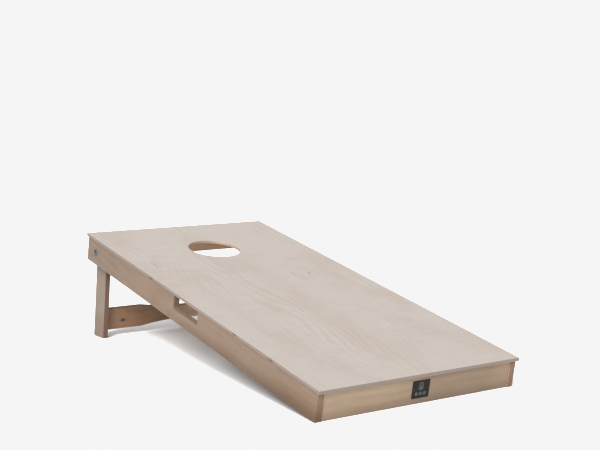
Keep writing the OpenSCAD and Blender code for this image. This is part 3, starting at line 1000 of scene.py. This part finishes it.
def add_end_rail(name, low, high, inward, seed, shades):
    """An end rail: x across the board, and z towards the low edge"""
    place = DECK @ axes((1, 0, 0), (0, 0, 1), (0, -1, 0), (0, (low.y + high.y) / 2, 0))
    cutters = pockets(end_screws(low, high, inward), PANEL_SCREW, place)
    cutters += pockets(corner_screws(low, high, inward), CORNER_SCREW, place)
    outline = box_outline(low.x, low.z, high.x, high.z)
    add_sheet("rail_" + name, name + "_rail", "rail_ply", place, [outline], high.y - low.y,
              cutters, END_RAIL_TONES, seed, ease=END_RAIL_EASE, shades=shades)


def leg_outline():
    """A leg in its own plane: x up from the pivot, y forward of it. Its top is round where it
    turns under the deck, with a fuller rear corner that stops it against the deck."""
    half = leg_high.y
    pivot_height = LEGS.translation.z
    rear, front = [-(pivot_height + n * math.sin(LEG_TILT)) / math.cos(LEG_TILT)
                   for n in (half, -half)]
    stop_r = rear_low.y - PIVOT_Y - STOP_CLEAR
    stop_z = rail_high.z - PIVOT_Z - STOP_GAP
    corner = math.degrees(math.acos(half / stop_r))
    flat_from = math.degrees(math.asin(stop_z / stop_r)) + math.degrees(LEG_LEAN)
    feet = rounded([(-half, 0, 0), (-half, front, FOOT_R), (half, rear, FOOT_R), (half, 0, 0)])
    stop = arc((0, 0), stop_r, corner, flat_from, 10)
    top = [Vector((0, stop_z / math.cos(LEG_LEAN)))]
    outline = feet[1:-1] + stop + top + arc((0, 0), half, 90, 180, 20)
    return [Vector((p.y, -p.x)) for p in outline]


def add_leg(side_name, side, seed):
    """A leg: x up from the pivot, and z to the right"""
    middle = side * (leg_low.x + leg_high.x) / 2
    place = LEGS @ axes((0, 0, 1), (0, -1, 0), (1, 0, 0), (middle, 0, 0))
    add_sheet("leg_" + side_name, side_name + "_leg", "leg_ply", place, [leg_outline()], LEG_T,
              [bolt_bore((0, 0), LEG_T)], LEG_TONES, seed, body="leg_frame", wander=8.0,
              shades=LEG_PAINTED_SHADE)


def brace_outline():
    """The brace from end to end, with a long shallow arc cut from both its long edges"""
    radius = (WAIST_HALF ** 2 + WAIST_CUT ** 2) / (2 * WAIST_CUT)
    spread = math.degrees(math.asin(WAIST_HALF / radius))
    lower = arc((0, brace_low.z + WAIST_CUT - radius), radius, 90 + spread, 90 - spread, 48)
    upper = arc((0, brace_high.z - WAIST_CUT + radius), radius, spread - 90, -90 - spread, 48)
    left, right = brace_low.x, brace_high.x
    right_end = [Vector((right, brace_low.z)), Vector((right, brace_high.z))]
    return ([Vector((left, brace_low.z))] + lower + right_end + upper
            + [Vector((left, brace_high.z))])


def add_brace():
    """The brace: x across the board, and z forward"""
    place = LEGS @ axes((1, 0, 0), (0, 0, 1), (0, -1, 0), (0, 0, 0))
    cutters = pockets(brace_screws(1) + brace_screws(-1), BRACE_SCREW, place)
    add_sheet("brace", "leg_brace", "brace_ply", place, [brace_outline()], BRACE_T, cutters,
              BRACE_TONES, 5.31, body="leg_frame", wander=8.0, knots=BRACE_KNOTS,
              shades=BRACE_PAINTED_LIGHT)


# ---- badge ----

BADGE_W, BADGE_H = badge_high.x, (badge_high.z - badge_low.z) / 2
BADGE_T = badge_high.y - badge_low.y
RELIEF = 0.3 * MM
BADGE_RIM, BADGE_R = 1.6 * MM, 1.5 * MM
BADGE_PLACE = DECK @ axes((1, 0, 0), (0, 0, 1), (0, -1, 0),
                          (0, badge_high.y, (badge_low.z + badge_high.z) / 2))

# The pictogram, from the badge's middle: the board and its hole, and the bags
BOARD_HALF, BOARD_BOTTOM, BOARD_TOP = 6.5 * MM, -2 * MM, 17 * MM
DOT_UP, DOT_R = 11.5 * MM, 2.8 * MM
BAG_HALF, BAG_BOTTOM, BAG_TOP, BAG_STEP = 4.2 * MM, -15.2 * MM, -6.8 * MM, 12 * MM
SHAPE_R = 2 * MM
PIN_IN, PIN_R = 3.6 * MM, 1.3 * MM


def add_badge_plate():
    """A black plate with a raised rim"""
    ground = BADGE_T - RELIEF
    outer = box_outline(-BADGE_W, -BADGE_H, BADGE_W, BADGE_H, BADGE_R)
    inner_w, inner_h = BADGE_W - BADGE_RIM, BADGE_H - BADGE_RIM
    inner = box_outline(-inner_w, -inner_h, inner_w, inner_h, 1 * MM)[::-1]
    slab = sheet_mesh([inset(outer, 0.1 * MM)], ground, 0.25 * MM, steps=4, rim=0.1 * MM)
    rim = sheet_mesh([outer, inner], BADGE_T, 0.2 * MM, steps=4, rim=0.05 * MM)
    parts = [(slab, Matrix.Translation((0, 0, ground / 2))),
             (rim, Matrix.Translation((0, 0, BADGE_T / 2)))]
    black = plastic("badge_black", (0.003, 0.0032, 0.003, 1), (0.006, 0.0063, 0.006, 1), 0.5)
    add_piece("badge", joined(parts), BADGE_PLACE, black, "board", "front_badge",
              40)


def add_badge_emblem():
    """Raised on the plate: a pictogram of a board above three bags, and two pins"""
    board = box_outline(-BOARD_HALF, BOARD_BOTTOM, BOARD_HALF, BOARD_TOP, SHAPE_R)
    shapes = [[board, circle((0, DOT_UP), DOT_R, way=-1)]]
    shapes += [[box_outline(x - BAG_HALF, BAG_BOTTOM, x + BAG_HALF, BAG_TOP, SHAPE_R)]
               for x in (-BAG_STEP, 0, BAG_STEP)]
    shapes += [[circle((side * (BADGE_W - PIN_IN), 0), PIN_R)] for side in (-1, 1)]
    meshes = [sheet_mesh(outlines, 2 * RELIEF, 0.1 * MM, steps=3, rim=0.05 * MM)
              for outlines in shapes]
    grey = plastic("badge_print", (0.065, 0.065, 0.064, 1), (0.05, 0.05, 0.049, 1), 0.6)
    place = BADGE_PLACE @ Matrix.Translation((0, 0, BADGE_T - RELIEF))
    emblem = add_object("badge_emblem", joined([(m, Matrix()) for m in meshes]), place, grey, 40)
    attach(emblem, "board")


# ---- camera, light and floor ----

CAMERA_AZIMUTH, CAMERA_ELEVATION = math.radians(-34.52), math.radians(6.15)
CAMERA_DISTANCE, CAMERA_LENS = 3.267, 72.67
CAMERA_TARGET = Vector((0.053, -0.009, 0.3642))

ROOM = 0.8
WHITE = 0.76
PALE = 0.913
FILM_CURVE = ((0.2, 0.2), (0.4, 0.4), (0.64, 0.65), (WHITE, PALE))
SUN_POWER = 4.6
SUN_WAY = Vector((1.0, 0.8, -1.1)).normalized()
SUN_ANGLE = math.radians(30)
FLOOR_SHADE = 0.9
FLOOR_HALF = 60


def add_camera():
    """The view: from the low left corner, a little above the board"""
    level = math.cos(CAMERA_ELEVATION)
    back = Vector((math.sin(CAMERA_AZIMUTH) * level, -math.cos(CAMERA_AZIMUTH) * level,
                   math.sin(CAMERA_ELEVATION)))
    eye = CAMERA_TARGET + back * CAMERA_DISTANCE
    camera = bpy.data.cameras.new("camera")
    camera.lens = CAMERA_LENS
    camera.clip_end = 200
    place = aimed(eye, CAMERA_TARGET - eye, "-Z", "Y")
    bpy.context.scene.camera = new_object("camera", camera, place)


def add_light():
    """An even pale room, with one large soft lamp high in front and to the left"""
    world = bpy.data.worlds.new("room")
    bpy.context.scene.world = world
    world.use_nodes = True
    background = world.node_tree.nodes["Background"]
    background.inputs["Color"].default_value = (ROOM, ROOM, ROOM, 1)
    lamp = bpy.data.lights.new("soft_lamp", "SUN")
    lamp.energy = SUN_POWER
    lamp.angle = SUN_ANGLE
    new_object("soft_lamp", lamp, aimed((0, 0, 0), SUN_WAY, "-Z", "Y"))


def set_film():
    """Plain colours up to a soft shoulder, where room and lit floor meet in one pale tone"""
    view = bpy.context.scene.view_settings
    view.view_transform = "Standard"
    view.use_curve_mapping = True
    curve = view.curve_mapping.curves[3]
    curve.points[0].location = (0, 0)
    curve.points[1].location = (1, PALE)
    for x, y in FILM_CURVE:
        curve.points.new(x, y)
    for point in curve.points:
        point.handle_type = "VECTOR"
    view.curve_mapping.extend = "HORIZONTAL"
    view.curve_mapping.update()


def add_floor():
    """A plain pale floor"""
    bm = bmesh.new()
    bmesh.ops.create_grid(bm, x_segments=2, y_segments=2, size=FLOOR_HALF)
    s = Shader("pale_floor")
    s.put(s.surface.inputs["Base Color"], (FLOOR_SHADE, FLOOR_SHADE, FLOOR_SHADE, 1))
    s.put(s.surface.inputs["Roughness"], 1.0)
    s.put(s.surface.inputs["Specular IOR Level"], 0.0)
    floor = add_object("floor", bm, Matrix(), s.material)


# ---- the whole scene ----

add_camera()
add_light()
set_film()
add_floor()
add_deck()
add_side_rail("left", -1, 1.73, RAIL_KNOTS, LEFT_SHADES, [split_cutter()])
add_side_rail("right", 1, 2.91, (), RIGHT_SHADES)
add_end_rail("front", front_low, front_high, 1, 3.17, FRONT_SHADES)
add_end_rail("rear", rear_low, rear_high, -1, 4.43, REAR_PAINTED_LIGHT)
add_leg("left", -1, 6.19)
add_leg("right", 1, 7.71)
add_brace()
add_badge_plate()
add_badge_emblem()

steel = metal("zinc_blue", (0.12, 0.155, 0.17, 1), (0.055, 0.08, 0.092, 1), 0.36, 160.0)
gold = metal("zinc_yellow", (0.62, 0.47, 0.20, 1), (0.48, 0.38, 0.22, 1), 0.38, 240.0)
white = plastic("nylon_white", (0.16, 0.27, 0.46, 1), (0.20, 0.31, 0.50, 1), 0.45)
for word, sign in SIDES.items():
    add_pivot(word, sign, steel, white)
    add_screws(PANEL_SCREW, word, side_screws(sign), gold)
    add_screws(BRACE_SCREW, word, brace_screws(sign), gold)
for word, low, high, sign in ENDS:
    add_screws(PANEL_SCREW, word, end_screws(low, high, sign), gold)
    add_screws(CORNER_SCREW, word, corner_screws(low, high, sign), gold)
